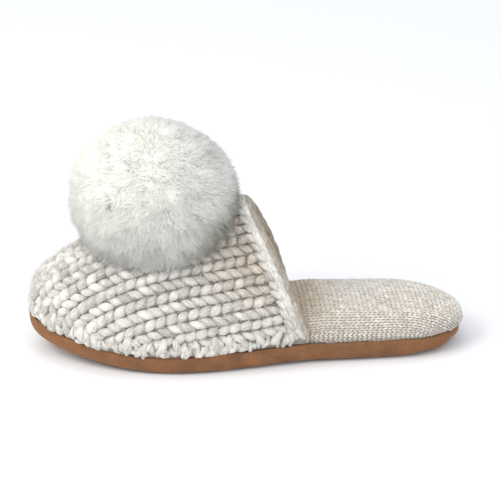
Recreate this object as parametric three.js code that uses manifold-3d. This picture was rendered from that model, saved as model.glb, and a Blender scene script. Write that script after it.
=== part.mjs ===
// A mule slipper for the left foot: a suede sole turned up into a shallow cup, a thick footbed in
// a fine knit cover, a chunky hand-knitted upper over the forefoot, and a fur pompom on the vamp.
// Lengths are in millimetres. The toe points along -X, the outer side of the foot is -Y, up is +Z.
// The origin is on the floor, under the middle of the heel.
import * as THREE from "three";
import { mergeVertices } from "three/addons/utils/BufferGeometryUtils.js";
import Module from "manifold-3d";

const wasm = await Module();
wasm.setup();

// Driving sizes
const LENGTH = 252;
const BALL_WIDTH = 91;
const INSTEP_HEIGHT = 90; // floor to the top of the knit at the collar
const TOE_SPRING = 10.5;
const ARCH_LIFT = 0.9;
const HEEL_SEAT = 0.85; // where the origin lies, as a share of the length from the toe
const CLEARANCE = 0.35; // between two pieces that touch on the real slipper

// Suede sole
const SUEDE = 2;
const SUEDE_RISE = 12.5; // height of the turned-up side
const TUCK_RADIUS = 5; // round of the lower edge
const TREAD_INSET = 9; // from the edge of the suede to the flat of the underside
const CUP_ROUND = 3.2; // round where the inside of the cup meets its floor

// Footbed
const BED_HEIGHT = 29; // underside of the sole to the top of the footbed, at the waist
const BED_BULGE = 1.4; // how far the cushion stands out past the suede behind the collar
const BED_SHOULDER = 10; // width of the rounded shoulder
const BED_CROWN = 2.2;

// Knitted upper
const KNIT_WALL = 5.6;
const KNIT_OVERHANG = 0.8; // how far the knit stands out past the suede at its seam
const TOE_SETBACK = 1.2; // how far it stands back from the tip of the toe
const KNIT_PUFF = 2.4; // extra swell just above the seam
const LEG_ROW = 6.3; // from one row of stitch legs to the next
const RIDGE = 1.8; // how far a row stands above the groove beside it
const COLLAR_STEP = 0.9; // the bound edge stands this far above the knit
const COLLAR_BAND = 7; // and is this wide

// Pompom
const POM_RADIUS = { along: 44.5, across: 43, up: 38.5 };
const POM_AT = 0.292; // share of the length
const POM_HEIGHT = 97; // floor to the middle of the ball
const LOCK_COUNT = 140;
const LOCK_LENGTH = 7; // how far a lock's tip stands out of the ball
const LOCK_RADIUS = 7.5;

// Round ends of the outline: how much of the length each takes, and the power of its curve
const TOE_ROUND = 0.36;
const TOE_POWER = 2;
const HEEL_ROUND = 0.15;
const HEEL_POWER = 2;
const TOE_SWING = 7; // how far the tip of the toe lies towards the inner side
const SPRING_FROM = 0.3; // where the sole starts to lift towards the toe
const SPRING_POWER = 1.7;
const ARCH_FROM = 0.52;
const ARCH_TO = 0.72;

// The last, by share of the length from the toe. outer and inner are shares of BALL_WIDTH before
// the ends are rounded, rim of SUEDE_RISE, bed of BED_HEIGHT, and tuck is how many TUCK_RADIUS
// the lower edge draws in.
const LAST = [
  { at: 0.0, outer: 0.465, inner: 0.495, rim: 0.98, bed: 0.62, tuck: 0.9 },
  { at: 0.12, outer: 0.472, inner: 0.503, rim: 0.88, bed: 0.62, tuck: 0.85 },
  { at: 0.24, outer: 0.485, inner: 0.508, rim: 0.86, bed: 0.66, tuck: 0.75 },
  { at: 0.36, outer: 0.492, inner: 0.5, rim: 0.9, bed: 0.75, tuck: 0.7 },
  { at: 0.45, outer: 0.468, inner: 0.447, rim: 0.95, bed: 0.86, tuck: 0.7 },
  { at: 0.55, outer: 0.42, inner: 0.36, rim: 0.97, bed: 0.96, tuck: 0.75 },
  { at: 0.65, outer: 0.385, inner: 0.313, rim: 0.97, bed: 1.01, tuck: 0.8 },
  { at: 0.75, outer: 0.374, inner: 0.322, rim: 0.98, bed: 0.98, tuck: 0.85 },
  { at: 0.85, outer: 0.365, inner: 0.345, rim: 0.98, bed: 0.92, tuck: 1.0 },
  { at: 0.93, outer: 0.357, inner: 0.345, rim: 0.93, bed: 0.85, tuck: 1.35 },
  { at: 1.0, outer: 0.355, inner: 0.345, rim: 0.88, bed: 0.77, tuck: 1.75 },
];

// The upper is a run of arches from the collar, at 0, to the seam round the toe, at 1. The top of
// an arch lies at crest, and its feet stand on the rim at foot, both shares of the length; height
// is a share of INSTEP_HEIGHT. skew sets the outer foot back and the inner one forward, and bow
// curves the arch back between crest and foot, shares of the length again. power shapes the arch:
// 2 is an ellipse, and more is squarer. seam is how far it has gone towards the toe's outline.
const VAMP = [
  { at: 0.0, crest: 0.498, height: 1.0, foot: 0.618, skew: 0.013, bow: 0.011, power: 2.0, seam: 0 },
  { at: 0.1, crest: 0.42, height: 0.956, foot: 0.532, skew: 0.009, bow: 0.008, power: 2.0, seam: 0 },
  { at: 0.2, crest: 0.345, height: 0.91, foot: 0.453, skew: 0.006, bow: 0.004, power: 2.0, seam: 0 },
  { at: 0.3, crest: 0.27, height: 0.86, foot: 0.374, skew: 0.002, bow: 0.001, power: 2.0, seam: 0 },
  { at: 0.4, crest: 0.2, height: 0.8, foot: 0.3, skew: 0, bow: 0, power: 2.0, seam: 0 },
  { at: 0.5, crest: 0.14, height: 0.73, foot: 0.245, skew: 0, bow: 0, power: 2.0, seam: 0 },
  { at: 0.6, crest: 0.09, height: 0.65, foot: 0.215, skew: 0, bow: 0, power: 2.0, seam: 0.03 },
  { at: 0.7, crest: 0.05, height: 0.565, foot: 0.2, skew: 0, bow: 0, power: 2.0, seam: 0.12 },
  { at: 0.8, crest: 0.021, height: 0.485, foot: 0.192, skew: 0, bow: 0, power: 2.0, seam: 0.3 },
  { at: 0.9, crest: 0.003, height: 0.375, foot: 0.188, skew: 0, bow: 0, power: 2.0, seam: 0.6 },
  { at: 1.0, crest: 0, height: 0.25, foot: 0.185, skew: 0, bow: 0, power: 2.0, seam: 1 },
];

const ARCH_COUNT = 20; // arches in the run
const FINEST = 0.02; // mm, slivers thinner than this are closed up
const OUTLINE_POINTS = 64; // round the sole, even
const FILL_STEPS = 4; // across the underside and the top of the footbed
const HALF_ARCH = 104; // more than the longest way from a crest to a foot
const ARCH_SAMPLES = 48; // along half an arch, before it is spaced evenly

const mix = THREE.MathUtils.lerp;

// A smooth curve through one column of a table, read at a share of the length.
function column(table, name) {
  const at = table.map((row) => row.at);
  const value = table.map((row) => row[name]);
  const last = at.length - 1;
  const slope = at.map((_, i) => {
    const before = Math.max(i - 1, 0);
    const after = Math.min(i + 1, last);
    return (value[after] - value[before]) / (at[after] - at[before]);
  });
  return (share) => {
    const x = THREE.MathUtils.clamp(share, at[0], at[last]);
    let i = 0;
    while (i < last - 1 && x > at[i + 1]) i += 1;
    const span = at[i + 1] - at[i];
    const s = (x - at[i]) / span;
    const rise = s * s * (3 - 2 * s);
    const swing = slope[i] * (1 - s) - slope[i + 1] * s;
    return mix(value[i], value[i + 1], rise) + swing * span * s * (1 - s);
  };
}

const outerShare = column(LAST, "outer");
const innerShare = column(LAST, "inner");
const rimShare = column(LAST, "rim");
const bedShare = column(LAST, "bed");
const tuckShare = column(LAST, "tuck");

const along = (share) => (share - HEEL_SEAT) * LENGTH;
const shareAt = (x) => x / LENGTH + HEEL_SEAT;

// How far the outline is drawn in by the round of the toe and of the heel, from 1 down to 0.
function endRound(share) {
  const toe = Math.max(0, 1 - share / TOE_ROUND);
  const heel = Math.max(0, 1 - (1 - share) / HEEL_ROUND);
  const toePart = Math.max(0, 1 - toe ** TOE_POWER) ** (1 / TOE_POWER);
  const heelPart = Math.max(0, 1 - heel ** HEEL_POWER) ** (1 / HEEL_POWER);
  return toePart * heelPart;
}

// Centre line and edges of the sole seen from above. side is -1 for outer and 1 for inner.
function swing(share) {
  return TOE_SWING * Math.max(0, 1 - share / TOE_ROUND) ** 2;
}

function halfWidth(share, side) {
  const widest = side < 0 ? outerShare(share) : innerShare(share);
  return BALL_WIDTH * widest * endRound(share);
}

// Height of the underside above the floor: toe spring and a slight arch between two flat spots.
function underside(share) {
  const toe = Math.max(0, 1 - share / SPRING_FROM);
  const arch = THREE.MathUtils.clamp((share - ARCH_FROM) / (ARCH_TO - ARCH_FROM), 0, 1);
  return TOE_SPRING * toe ** SPRING_POWER + ARCH_LIFT * Math.sin(Math.PI * arch) ** 2;
}

const rimHeight = (share) => SUEDE_RISE * rimShare(share);
const bedHeight = (share) => BED_HEIGHT * bedShare(share);

// A point of the outline at a turn from 0 at the toe, by the outer side, to 2 pi.
function outlinePoint(turn) {
  const share = (1 - Math.cos(turn)) / 2;
  const side = Math.sin(turn) >= 0 ? -1 : 1;
  return new THREE.Vector2(along(share), swing(share) + side * halfWidth(share, side));
}

function outwardNormal(turn) {
  const step = 0.02;
  const tangent = outlinePoint(turn + step).sub(outlinePoint(turn - step)).normalize();
  return new THREE.Vector2(tangent.y, -tangent.x);
}

// One closed line round the sole. out is the distance past the outline, and height the distance
// above the underside, each a function of the share of the length.
function ring(out, height) {
  return Array.from({ length: OUTLINE_POINTS }, (_, k) => {
    const turn = (2 * Math.PI * k) / OUTLINE_POINTS;
    const reach = out((1 - Math.cos(turn)) / 2);
    const point = outlinePoint(turn).addScaledVector(outwardNormal(turn), reach);
    const share = THREE.MathUtils.clamp(shareAt(point.x), 0, 1);
    return new THREE.Vector3(point.x, point.y, underside(share) + height(share));
  });
}

// Triangles gathered into one closed solid.
class Skin {
  constructor() {
    this.corners = [];
  }

  face(a, b, c) {
    this.corners.push(...a.toArray(), ...b.toArray(), ...c.toArray());
  }

  quad(a, b, c, d) {
    this.face(a, b, c);
    this.face(a, c, d);
  }

  // A band between two lines with as many points. A closed line joins its end to its start.
  band(lower, upper, closed) {
    const steps = closed ? lower.length : lower.length - 1;
    for (let i = 0; i < steps; i += 1) {
      const next = (i + 1) % lower.length;
      this.quad(lower[i], lower[next], upper[next], upper[i]);
    }
  }

  solid() {
    const soup = new THREE.BufferGeometry();
    soup.setAttribute("position", new THREE.Float32BufferAttribute(this.corners, 3));
    return solidOf(soup);
  }
}

function solidOf(geometry) {
  const merged = mergeVertices(geometry, 1e-3);
  const corners = merged.index.array;
  const kept = [];
  for (let i = 0; i < corners.length; i += 3) {
    const [a, b, c] = corners.slice(i, i + 3);
    if (a !== b && b !== c && c !== a) kept.push(a, b, c);
  }
  return new wasm.Manifold(
    new wasm.Mesh({
      numProp: 3,
      vertProperties: merged.attributes.position.array,
      triVerts: new Uint32Array(kept),
    }),
  );
}

// Rows of points across a ring, between each point of the outer side and the one facing it.
// lift raises a point by its share across and the share of the length.
function rowsAcross(line, lift) {
  const half = line.length / 2;
  return Array.from({ length: half + 1 }, (_, i) => {
    const outer = line[i];
    const inner = line[(line.length - i) % line.length];
    return Array.from({ length: FILL_STEPS + 1 }, (_, j) => {
      if (j === 0) return outer;
      if (j === FILL_STEPS) return inner;
      const s = j / FILL_STEPS;
      const point = outer.clone().lerp(inner, s);
      point.z += lift(s, shareAt(point.x)) * (i > 0 && i < half ? 1 : 0);
      return point;
    });
  });
}

// A solid from rings stacked from the middle of its underside, out, up and in to its top.
function ringSolid(rings, lift = () => 0) {
  const skin = new Skin();
  rings.slice(1).forEach((upper, i) => skin.band(rings[i], upper, true));
  const flat = () => 0;
  const under = rowsAcross(rings[0], flat);
  const top = rowsAcross(rings[rings.length - 1], lift);
  under.slice(1).forEach((row, i) => skin.band(under[i], row, false));
  top.slice(1).forEach((row, i) => skin.band(row, top[i], false));
  return skin.solid();
}

// The suede sole: the hide is turned up round the footbed, with a rounded lower edge.
function makeSole() {
  const tuck = (part) => (share) => -TUCK_RADIUS * tuckShare(share) * part;
  const tread = (share) => -TREAD_INSET * Math.max(1, tuckShare(share));
  const rings = [
    ring(tread, () => 0),
    ring(tuck(0.95), () => 0.35),
    ring(tuck(0.42), () => 0.4 * TUCK_RADIUS),
    ring(tuck(0.1), () => TUCK_RADIUS),
    ring(() => 0, (share) => 0.72 * rimHeight(share)),
    ring(() => 0, rimHeight),
    ring(() => -SUEDE, rimHeight),
    ring((share) => tuck(0.1)(share) - SUEDE, () => SUEDE + CUP_ROUND),
    ring((share) => tuck(0.42)(share) - SUEDE - 0.4 * CUP_ROUND, () => SUEDE + 0.3 * CUP_ROUND),
    ring((share) => tread(share) - SUEDE, () => SUEDE),
  ];
  return ringSolid(rings);
}

// How much of a size applies behind the collar, from 0 under the upper to 1 at the heel.
function behindCollar(share) {
  const reach = (share - (VAMP[0].foot - 0.03)) / 0.05;
  return THREE.MathUtils.smoothstep(reach, 0, 1);
}

// The footbed fills the cup, steps over the rim behind the collar and is rounded to its top.
function makeFootbed() {
  const cup = SUEDE + CLEARANCE;
  const underUpper = -(KNIT_WALL + 2 * CLEARANCE);
  const edge = (outside, inside) => (share) => mix(inside, outside, behindCollar(share));
  const above = (part) => (share) =>
    mix(rimHeight(share) + CLEARANCE, bedHeight(share), part);
  const tuck = (part) => (share) => -TUCK_RADIUS * tuckShare(share) * part;
  const tread = (share) => -TREAD_INSET * Math.max(1, tuckShare(share));
  const rings = [
    ring((share) => tread(share) - cup, () => cup),
    ring((share) => tuck(0.42)(share) - cup - 0.4 * CUP_ROUND, () => cup + 0.3 * CUP_ROUND),
    ring((share) => tuck(0.1)(share) - cup, () => cup + CUP_ROUND),
    ring(edge(-cup, underUpper), (share) => rimHeight(share) + CLEARANCE),
    ring(edge(-0.4, underUpper), above(0)),
    ring(edge(BED_BULGE, underUpper), above(0.3)),
    ring(edge(BED_BULGE - 0.4, underUpper - 0.5), above(0.6)),
    ring(edge(-0.35 * BED_SHOULDER, underUpper - 2), above(0.88)),
    ring(edge(-BED_SHOULDER, underUpper - BED_SHOULDER), above(1)),
  ];
  const crown = (s, share) => BED_CROWN * 4 * s * (1 - s) * endRound(share);
  return ringSolid(rings, crown);
}

const vampCurves = Object.fromEntries(
  Object.keys(VAMP[0]).slice(1).map((name) => [name, column(VAMP, name)]),
);

// One arch of the upper, read from the table at its share of the way to the toe.
function archAt(at) {
  const curves = Object.entries(vampCurves).map(([name, curve]) => [name, curve(at)]);
  return { at, ...Object.fromEntries(curves) };
}

const onRim = (share) => underside(share) + rimHeight(share) + CLEARANCE;

// Half an arch from its crest down to one foot, as a fine line.
function archLine(arch, side) {
  const foot = arch.foot - side * arch.skew;
  const crest = arch.at === 1 ? onRim(0) : arch.height * INSTEP_HEIGHT;
  const line = [];
  for (let i = 0; i <= ARCH_SAMPLES; i += 1) {
    const angle = (Math.PI / 2) * (1 - i / ARCH_SAMPLES);
    const climb = Math.sin(angle) ** (2 / arch.power);
    const spread = Math.cos(angle) ** (2 / arch.power);
    const lag = arch.bow * Math.sin(Math.PI * climb) - side * arch.skew * (1 - climb) ** 3;
    const share = mix(arch.foot, arch.crest, climb) + lag;
    const archY = mix(swing(foot), swing(arch.crest), climb) + side * halfWidth(foot, side) * spread;
    const seamY = swing(foot * (1 - climb)) + side * halfWidth(foot * (1 - climb), side);
    const archZ = mix(onRim(foot), crest, climb);
    const z = mix(archZ, onRim(share), arch.seam ** 8);
    line.push(new THREE.Vector3(along(share), mix(archY, seamY, arch.seam), z));
  }
  return line;
}

// Points along half an arch, a pitch apart from the crest down, and the foot for the rest of
// the count. Each is moved outward by a distance that depends on its share of the way down, and
// what lies on the rim is lowered by drop.
function spacedArch(arch, side, pitch, count, out, drop) {
  const line = archLine(arch, side);
  const walked = [0];
  line.slice(1).forEach((point, i) => walked.push(walked[i] + point.distanceTo(line[i])));
  const total = walked[walked.length - 1];
  const across = new THREE.Vector3(0, side, 0);
  const crestAhead = line[0].clone().sub(line[line.length - 1]);
  const up = crestAhead.setY(0).normalize();
  return Array.from({ length: count + 1 }, (_, j) => {
    const atFoot = j === count || j * pitch > total - 0.35 * pitch;
    const target = atFoot ? total : j * pitch;
    let i = 1;
    while (i < walked.length - 1 && walked[i] < target) i += 1;
    const s = (target - walked[i - 1]) / (walked[i] - walked[i - 1]);
    const point = line[i - 1].clone().lerp(line[i], s);
    const tangent = line[i].clone().sub(line[i - 1]).normalize();
    const normal = up.clone().multiplyScalar(tangent.y * side).addScaledVector(across, -tangent.dot(up));
    if (j === 0) normal.copy(up);
    if (atFoot) normal.copy(across);
    point.addScaledVector(normal.normalize(), out(target / total, atFoot ? 0 : j % 2));
    if (atFoot || arch.at === 1) point.z -= drop;
    return point;
  });
}

// The upper as a filled form, with its face moved out by a distance. ridge raises its rows of
// stitch legs and bound the edge of the collar. past carries the form on beyond the collar and
// below the seam, so that it can cut.
function upperForm({ pitch, move = 0, ridge = 0, bound = 0, past = 0 }) {
  const band = (0.1 * COLLAR_BAND) / ((VAMP[0].crest - VAMP[1].crest) * LENGTH);
  const step = 1 / ARCH_COUNT;
  const steady = Array.from({ length: ARCH_COUNT }, (_, i) => (i + 1) * step);
  const stack = [0, 0.8 * band, band, ...steady.filter((at) => at > 1.3 * band)];
  const count = Math.ceil(HALF_ARCH / pitch);
  const grid = stack.map((at) => {
    const arch = archAt(at);
    const out = (share, odd) => {
      const swell = KNIT_PUFF * Math.sin(Math.PI * Math.min(1, (1 - share) * 3)) ** 2;
      const overhang = mix(-TOE_SETBACK, KNIT_OVERHANG, Math.min(1, 2 * share));
      const nearSeam = Math.max(share ** 3, arch.seam ** 2);
      const rows = ridge * (odd - 0.5) * (1 - arch.seam ** 4) * (1 - share ** 8);
      const edge = at < 0.9 * band ? bound : 0;
      return move + swell * (1 - arch.seam ** 2) + overhang * nearSeam + rows + edge;
    };
    const outer = spacedArch(arch, -1, pitch, count, out, past);
    const inner = spacedArch(arch, 1, pitch, count, out, past);
    return [...outer.reverse(), ...inner.slice(1)];
  });
  const beyond = grid[0].map((point) => point.clone().setX(point.x + past));
  return skinOver(past > 0 ? [beyond, ...grid] : grid);
}

// Closes a grid of arches into a solid. Its base follows the feet and the seam round the toe.
function skinOver(grid) {
  const skin = new Skin();
  const last = grid[grid.length - 1];
  const steps = last.length - 1;
  const fold = (row) => Array.from({ length: steps / 2 + 1 }, (_, j) => [row[j], row[steps - j]]);
  const bridge = (pairs) =>
    pairs.slice(1).forEach(([a, b], i) => skin.quad(pairs[i][0], a, b, pairs[i][1]));
  grid.slice(1).forEach((row, i) => skin.band(grid[i], row, false));
  bridge(fold(grid[0]).map(([outer, inner]) => [inner, outer]));
  bridge([...grid.slice(0, -1).map((row) => [row[0], row[steps]]), ...fold(last)]);
  return skin.solid();
}

const BEYOND = 12;

function makeUpper() {
  const outside = upperForm({ pitch: LEG_ROW / 2, ridge: RIDGE, bound: COLLAR_STEP });
  const inside = upperForm({ pitch: LEG_ROW, move: -KNIT_WALL, past: BEYOND });
  return outside.subtract(inside);
}

// The room that the upper's wall takes, with the clearance round it.
function upperRoom() {
  const around = { ridge: RIDGE, bound: COLLAR_STEP, move: CLEARANCE, past: CLEARANCE };
  const outside = upperForm({ pitch: LEG_ROW / 2, ...around });
  const inside = upperForm({ pitch: LEG_ROW, move: -KNIT_WALL - CLEARANCE, past: BEYOND });
  return outside.subtract(inside);
}

// One lock of fur: a bent cone that grows out of the ball.
function furLock(root, direction, number) {
  const sides = 5;
  const skin = new Skin();
  const droop = new THREE.Vector3(Math.sin(number * 2.4), Math.cos(number * 1.7), -0.6);
  const tip = root
    .clone()
    .addScaledVector(direction, LOCK_LENGTH)
    .addScaledVector(droop, 0.35 * LOCK_RADIUS);
  const aside = new THREE.Vector3(0.3, 0.5, 0.8).cross(direction).normalize();
  const other = direction.clone().cross(aside);
  const circle = (radius, reach) =>
    Array.from({ length: sides }, (_, i) => {
      const turn = (2 * Math.PI * i) / sides + number;
      return root
        .clone()
        .addScaledVector(direction, reach)
        .addScaledVector(aside, radius * Math.cos(turn))
        .addScaledVector(other, radius * Math.sin(turn));
    });
  const foot = circle(0.6 * LOCK_RADIUS, -0.8 * LOCK_RADIUS);
  const waist = circle(LOCK_RADIUS, -0.3 * LOCK_RADIUS);
  skin.band(foot, waist, true);
  foot.forEach((point, i) => {
    const next = (i + 1) % sides;
    skin.face(waist[i], waist[next], tip);
    if (i > 0 && next > 0) skin.face(foot[0], foot[next], point);
  });
  return skin.solid();
}

function makePompom() {
  const middle = new THREE.Vector3(along(POM_AT), 0, POM_HEIGHT);
  const size = new THREE.Vector3(POM_RADIUS.along, POM_RADIUS.across, POM_RADIUS.up);
  const ball = new THREE.SphereGeometry(1, 18, 12);
  ball.deleteAttribute("normal");
  ball.deleteAttribute("uv");
  ball.scale(size.x, size.y, size.z).translate(middle.x, middle.y, middle.z);
  const goldenTurn = Math.PI * (3 - Math.sqrt(5));
  const locks = Array.from({ length: LOCK_COUNT }, (_, i) => {
    const height = 1 - (2 * i + 1) / LOCK_COUNT;
    const across = Math.sqrt(1 - height * height);
    const turn = i * goldenTurn;
    const direction = new THREE.Vector3(across * Math.cos(turn), across * Math.sin(turn), height);
    const root = direction.clone().multiply(size).add(middle);
    return furLock(root, direction, i);
  });
  const fur = wasm.Manifold.union([solidOf(ball), ...locks]);
  const onVamp = upperForm({ pitch: LEG_ROW / 2, ridge: RIDGE, bound: COLLAR_STEP, move: CLEARANCE });
  const pieces = fur.subtract(onVamp).decompose();
  return pieces.sort((a, b) => b.volume() - a.volume())[0];
}

function meshOf(name, solid, look) {
  const { numProp, vertProperties, triVerts } = solid.simplify(FINEST).getMesh();
  const corners = new Float32Array((vertProperties.length / numProp) * 3);
  for (let i = 0; i < corners.length / 3; i += 1) {
    corners.set(vertProperties.subarray(i * numProp, i * numProp + 3), i * 3);
  }
  const geometry = new THREE.BufferGeometry();
  geometry.setAttribute("position", new THREE.BufferAttribute(corners, 3));
  geometry.setIndex(new THREE.BufferAttribute(triVerts, 1));
  geometry.computeVertexNormals();
  const mesh = new THREE.Mesh(geometry, new THREE.MeshStandardMaterial({ metalness: 0, ...look }));
  mesh.name = name;
  return mesh;
}

const slipper = new THREE.Group();
slipper.name = "slipper";
slipper.add(
  meshOf("sole", makeSole(), { color: 0x8a6044, roughness: 0.9 }),
  meshOf("footbed", makeFootbed().subtract(upperRoom()), { color: 0xd3cec3, roughness: 0.95 }),
  meshOf("upper", makeUpper(), { color: 0xe4e2dc, roughness: 0.95 }),
  meshOf("pompom", makePompom(), { color: 0xecebe6, roughness: 1 }),
);

export default slipper;
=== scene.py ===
# %% [markdown]
# # A knitted slipper with a fur ball
#
# The real slipper is a suede sole, a cushion covered in fine knit, a chunky hand-knitted band over
# the toes and a ball of long fur. The CAD model fixes every size. This lesson dresses it: each soft
# solid is replaced by a piece with real stitches, nap or hair, in the space that its solid holds.

# %% Load the frame
import math

import bpy
import numpy as np
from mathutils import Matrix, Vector
from mathutils.bvhtree import BVHTree


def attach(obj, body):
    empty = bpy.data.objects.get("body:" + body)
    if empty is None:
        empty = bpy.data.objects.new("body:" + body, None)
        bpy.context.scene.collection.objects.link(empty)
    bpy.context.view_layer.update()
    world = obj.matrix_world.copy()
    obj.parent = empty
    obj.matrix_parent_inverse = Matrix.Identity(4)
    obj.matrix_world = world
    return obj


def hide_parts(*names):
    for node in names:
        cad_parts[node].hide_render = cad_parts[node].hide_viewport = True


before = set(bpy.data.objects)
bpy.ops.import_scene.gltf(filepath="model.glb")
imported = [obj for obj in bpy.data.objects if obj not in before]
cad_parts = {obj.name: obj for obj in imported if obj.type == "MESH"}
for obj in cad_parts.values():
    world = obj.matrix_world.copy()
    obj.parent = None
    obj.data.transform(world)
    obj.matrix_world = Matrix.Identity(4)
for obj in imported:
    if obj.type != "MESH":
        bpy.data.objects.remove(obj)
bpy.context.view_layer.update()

MM = 0.001
bpy.ops.object.select_all(action="DESELECT")

# %% [markdown]
# ## Camera, floor and light
#
# The slipper was photographed from its outer side, a little above, with a long lens on a white
# sweep. A long lens keeps near and far parts at nearly one scale. The camera could be placed by
# hand, but working its place out from an aim point, a turn and a distance keeps it easy to change.

# %% Camera
AIM = Vector((-85.2, 7.8, 54.6)) * MM
TURN, RISE, AWAY = math.radians(-5.2), math.radians(22), 1.3
SENSOR = 36
SEEN = 0.2903  # metres across the frame where the slipper stands

back = Vector((math.sin(TURN) * math.cos(RISE), -math.cos(TURN) * math.cos(RISE), math.sin(RISE)))
bpy.ops.object.camera_add(location=AIM + back * AWAY)
camera = bpy.context.object
camera.rotation_mode = "QUATERNION"
camera.rotation_quaternion = (-back).to_track_quat("-Z", "Y")
camera.data.sensor_width = SENSOR
camera.data.lens = SENSOR * AWAY / SEEN
bpy.context.scene.camera = camera
bpy.context.scene.view_settings.view_transform = "Standard"
print("lens in mm:", round(camera.data.lens, 1))

# %% One way to add a node, one way to write a colour
def linear(code):
    """A colour from its sRGB hex code, as the linear values that a shader reads."""
    parts = [int(code[i:i + 2], 16) / 255 for i in (1, 3, 5)]
    return tuple(p / 12.92 if p <= 0.04045 else ((p + 0.055) / 1.055) ** 2.4 for p in parts) + (1,)


def connect(tree, made, inputs):
    """Each input is given a value, or another node's output to be linked to."""
    for name, value in inputs.items():
        if isinstance(value, bpy.types.NodeSocket):
            tree.links.new(value, made.inputs[name])
        else:
            made.inputs[name].default_value = value


def node(tree, kind, inputs=None, stops=(), **settings):
    """Adds a node. The stops are the places and the colours of a colour ramp."""
    made = tree.nodes.new(kind)
    for name, value in settings.items():
        setattr(made, name, value)
    connect(tree, made, inputs or {})
    for i, (place, code) in enumerate(stops):
        made.color_ramp.elements[i].position = place
        made.color_ramp.elements[i].color = linear(code)
    return made


def new_material(name, roughness):
    """A new material with its node tree and its shader."""
    material = bpy.data.materials.new(name)
    material.use_nodes = True
    shader = material.node_tree.nodes["Principled BSDF"]
    shader.inputs["Roughness"].default_value = roughness
    return material, material.node_tree, shader


def grain(mm):
    """The scale at which a pattern on Object coordinates has marks of this size."""
    return 1 / (mm * MM)


print("half grey, #808080, in linear light:", round(linear("#808080")[0], 3))

# %% Floor
# Matt paper has no gloss: the slipper leaves a soft shadow on it and no reflection.
bpy.ops.mesh.primitive_plane_add(size=12, location=(0, 0, -0.0004))
floor = bpy.context.object
floor.name = "floor"
paper, tree, shader = new_material("matt_white_paper_sweep", 0.9)
connect(tree, shader, {"Base Color": linear("#E5E5E6"), "Specular IOR Level": 0.1})
floor.data.materials.append(paper)
print("floor:", round(floor.dimensions.x), "m wide")

# %% Light
# A window on the toe's side, a bounce card in front and a weak lamp behind, in watts and metres.
# The white ceiling is a sun 60 degrees wide, so that no shadow has an edge.
world = bpy.data.worlds.new("pale_room")
bpy.context.scene.world = world
world.use_nodes = True
sky = world.node_tree.nodes["Background"]
connect(world.node_tree, sky, {"Color": linear("#ECF1F9"), "Strength": 0.68})

for name, place, power, size, tint in (
    ("window", (-1.15, -0.5, 0.95), 15, 0.9, "#FFFCF7"),
    ("bounce", (0.4, -1.4, 0.7), 13, 1.4, "#FDFDFF"),
    ("back_glow", (0.1, 1.3, 1.2), 4, 1.5, "#FFFFFF"),
):
    bpy.ops.object.light_add(type="AREA", location=place)
    lamp = bpy.context.object
    lamp.name = name
    lamp.data.energy, lamp.data.size = power, size
    lamp.data.color = linear(tint)[:3]
    lamp.rotation_euler = (AIM - lamp.location).to_track_quat("-Z", "Y").to_euler()
bpy.ops.object.light_add(type="SUN", location=(0, 0, 2))
ceiling = bpy.context.object
ceiling.name = "ceiling"
ceiling.data.energy, ceiling.data.angle = 0.9, math.radians(60)
ceiling.rotation_euler = (math.radians(8), math.radians(-10), 0)

# %% [markdown]
# ## The last
#
# A shoemaker builds on a last. The tables below are the last of this slipper, the same that shaped
# the CAD model: the sole's outline, and the arches of the knitted upper from its open edge to the
# toe. With them the scene knows where the knit's rows run, so that each stitch can be laid on one.
# A shrinkwrap onto the solid would also find the surface, but not the way that a row takes.

# %% Tables of the last
# LAST has half widths on both sides as shares of the ball's width, and the rim's height as a share
# of the suede's rise. VAMP has one row for each arch of the upper: where its crest and its foot
# stand, as shares of the length from the toe, its height as a share of the instep's, how far it is
# skewed and bowed, and how much it has become the seam.
LENGTH, BALL_WIDTH, INSTEP_HEIGHT, HEEL_SEAT = 252, 91, 90, 0.85
TOE_SPRING, ARCH_LIFT, SUEDE_RISE, CLEARANCE = 10.5, 0.9, 12.5, 0.35
TOE_SETBACK, KNIT_OVERHANG, KNIT_PUFF = 1.2, 0.8, 2.4
TOE_ROUND, HEEL_ROUND, TOE_SWING = 0.36, 0.15, 7
LAST = {
    "at": [0, .12, .24, .36, .45, .55, .65, .75, .85, .93, 1],
    "outer": [.465, .472, .485, .492, .468, .42, .385, .374, .365, .357, .355],
    "inner": [.495, .503, .508, .5, .447, .36, .313, .322, .345, .345, .345],
    "rim": [.98, .88, .86, .9, .95, .97, .97, .98, .98, .93, .88],
}
VAMP = {
    "at": [0, .1, .2, .3, .4, .5, .6, .7, .8, .9, 1],
    "crest": [.498, .42, .345, .27, .2, .14, .09, .05, .021, .003, 0],
    "height": [1, .956, .91, .86, .8, .73, .65, .565, .485, .375, .25],
    "foot": [.618, .532, .453, .374, .3, .245, .215, .2, .192, .188, .185],
    "skew": [.013, .009, .006, .002, 0, 0, 0, 0, 0, 0, 0],
    "bow": [.011, .008, .004, .001, 0, 0, 0, 0, 0, 0, 0],
    "seam": [0, 0, 0, 0, 0, 0, .03, .12, .3, .6, 1],
}

print("widths of the sole:", len(LAST["at"]), "and arches of the upper:", len(VAMP["at"]))

# %% Smooth curves through the tables
def column(table, name):
    """A smooth curve through one column of a table."""
    at, value = np.array(table["at"], float), np.array(table[name], float)
    slope = np.empty_like(value)
    slope[1:-1] = (value[2:] - value[:-2]) / (at[2:] - at[:-2])
    slope[0] = (value[1] - value[0]) / (at[1] - at[0])
    slope[-1] = (value[-1] - value[-2]) / (at[-1] - at[-2])

    def read(share):
        x = np.clip(share, at[0], at[-1])
        i = np.clip(np.searchsorted(at, x, side="right") - 1, 0, len(at) - 2)
        span = at[i + 1] - at[i]
        s = (x - at[i]) / span
        bend = slope[i] * (1 - s) - slope[i + 1] * s
        rise = value[i + 1] - value[i]
        return value[i] + rise * s * s * (3 - 2 * s) + bend * span * s * (1 - s)

    return read


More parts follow.
